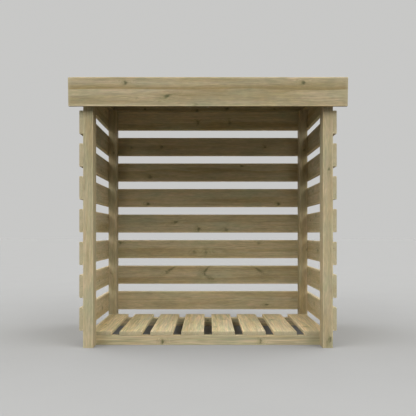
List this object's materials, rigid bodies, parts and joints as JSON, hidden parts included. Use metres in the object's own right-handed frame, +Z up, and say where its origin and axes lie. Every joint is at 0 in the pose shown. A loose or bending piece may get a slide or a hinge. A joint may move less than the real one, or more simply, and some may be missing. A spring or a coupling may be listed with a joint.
{
  "type": "log store",
  "caption": "Open-fronted slatted timber log store with a raised slat floor and a lean-to board roof that falls to a deep front fascia.",
  "frame": {"origin": "on the ground at the middle of the plan, between the fascia and the rear edge of the roof", "axes": "+X to the right along the open front, +Y to the back, +Z up"},
  "size_m": [1.212, 0.7819, 1.2302],
  "materials": {
    "post_timber": "sawn and planed pressure-treated softwood, matt",
    "wall_timber": "sawn and planed pressure-treated softwood, matt",
    "floor_timber": "sawn and planed pressure-treated softwood, matt",
    "roof_timber": "sawn and planed pressure-treated softwood, matt",
    "fascia_timber": "sawn and planed pressure-treated softwood, matt"
  },
  "bodies": {
    "root": {"back_board_1": "wall_timber", "back_board_2": "wall_timber", "back_board_3": "wall_timber", "back_board_4": "wall_timber", "back_board_5": "wall_timber", "back_board_6": "wall_timber", "back_board_7": "wall_timber", "back_board_8": "wall_timber", "back_left_post": "post_timber", "back_right_post": "post_timber", "fascia": "fascia_timber", "floor_back_rail": "floor_timber", "floor_front_rail": "floor_timber", "floor_slat_1": "floor_timber", "floor_slat_2": "floor_timber", "floor_slat_3": "floor_timber", "floor_slat_4": "floor_timber", "floor_slat_5": "floor_timber", "floor_slat_6": "floor_timber", "floor_slat_7": "floor_timber", "floor_slat_8": "floor_timber", "front_bearer": "roof_timber", "front_left_post": "post_timber", "front_right_post": "post_timber", "left_bearer": "roof_timber", "left_board_1": "wall_timber", "left_board_2": "wall_timber", "left_board_3": "wall_timber", "left_board_4": "wall_timber", "left_board_5": "wall_timber", "left_board_6": "wall_timber", "left_board_7": "wall_timber", "left_board_8": "wall_timber", "rear_bearer": "roof_timber", "right_bearer": "roof_timber", "right_board_1": "wall_timber", "right_board_2": "wall_timber", "right_board_3": "wall_timber", "right_board_4": "wall_timber", "right_board_5": "wall_timber", "right_board_6": "wall_timber", "right_board_7": "wall_timber", "right_board_8": "wall_timber", "roof_boards": "roof_timber"}
  },
  "joints": []
}
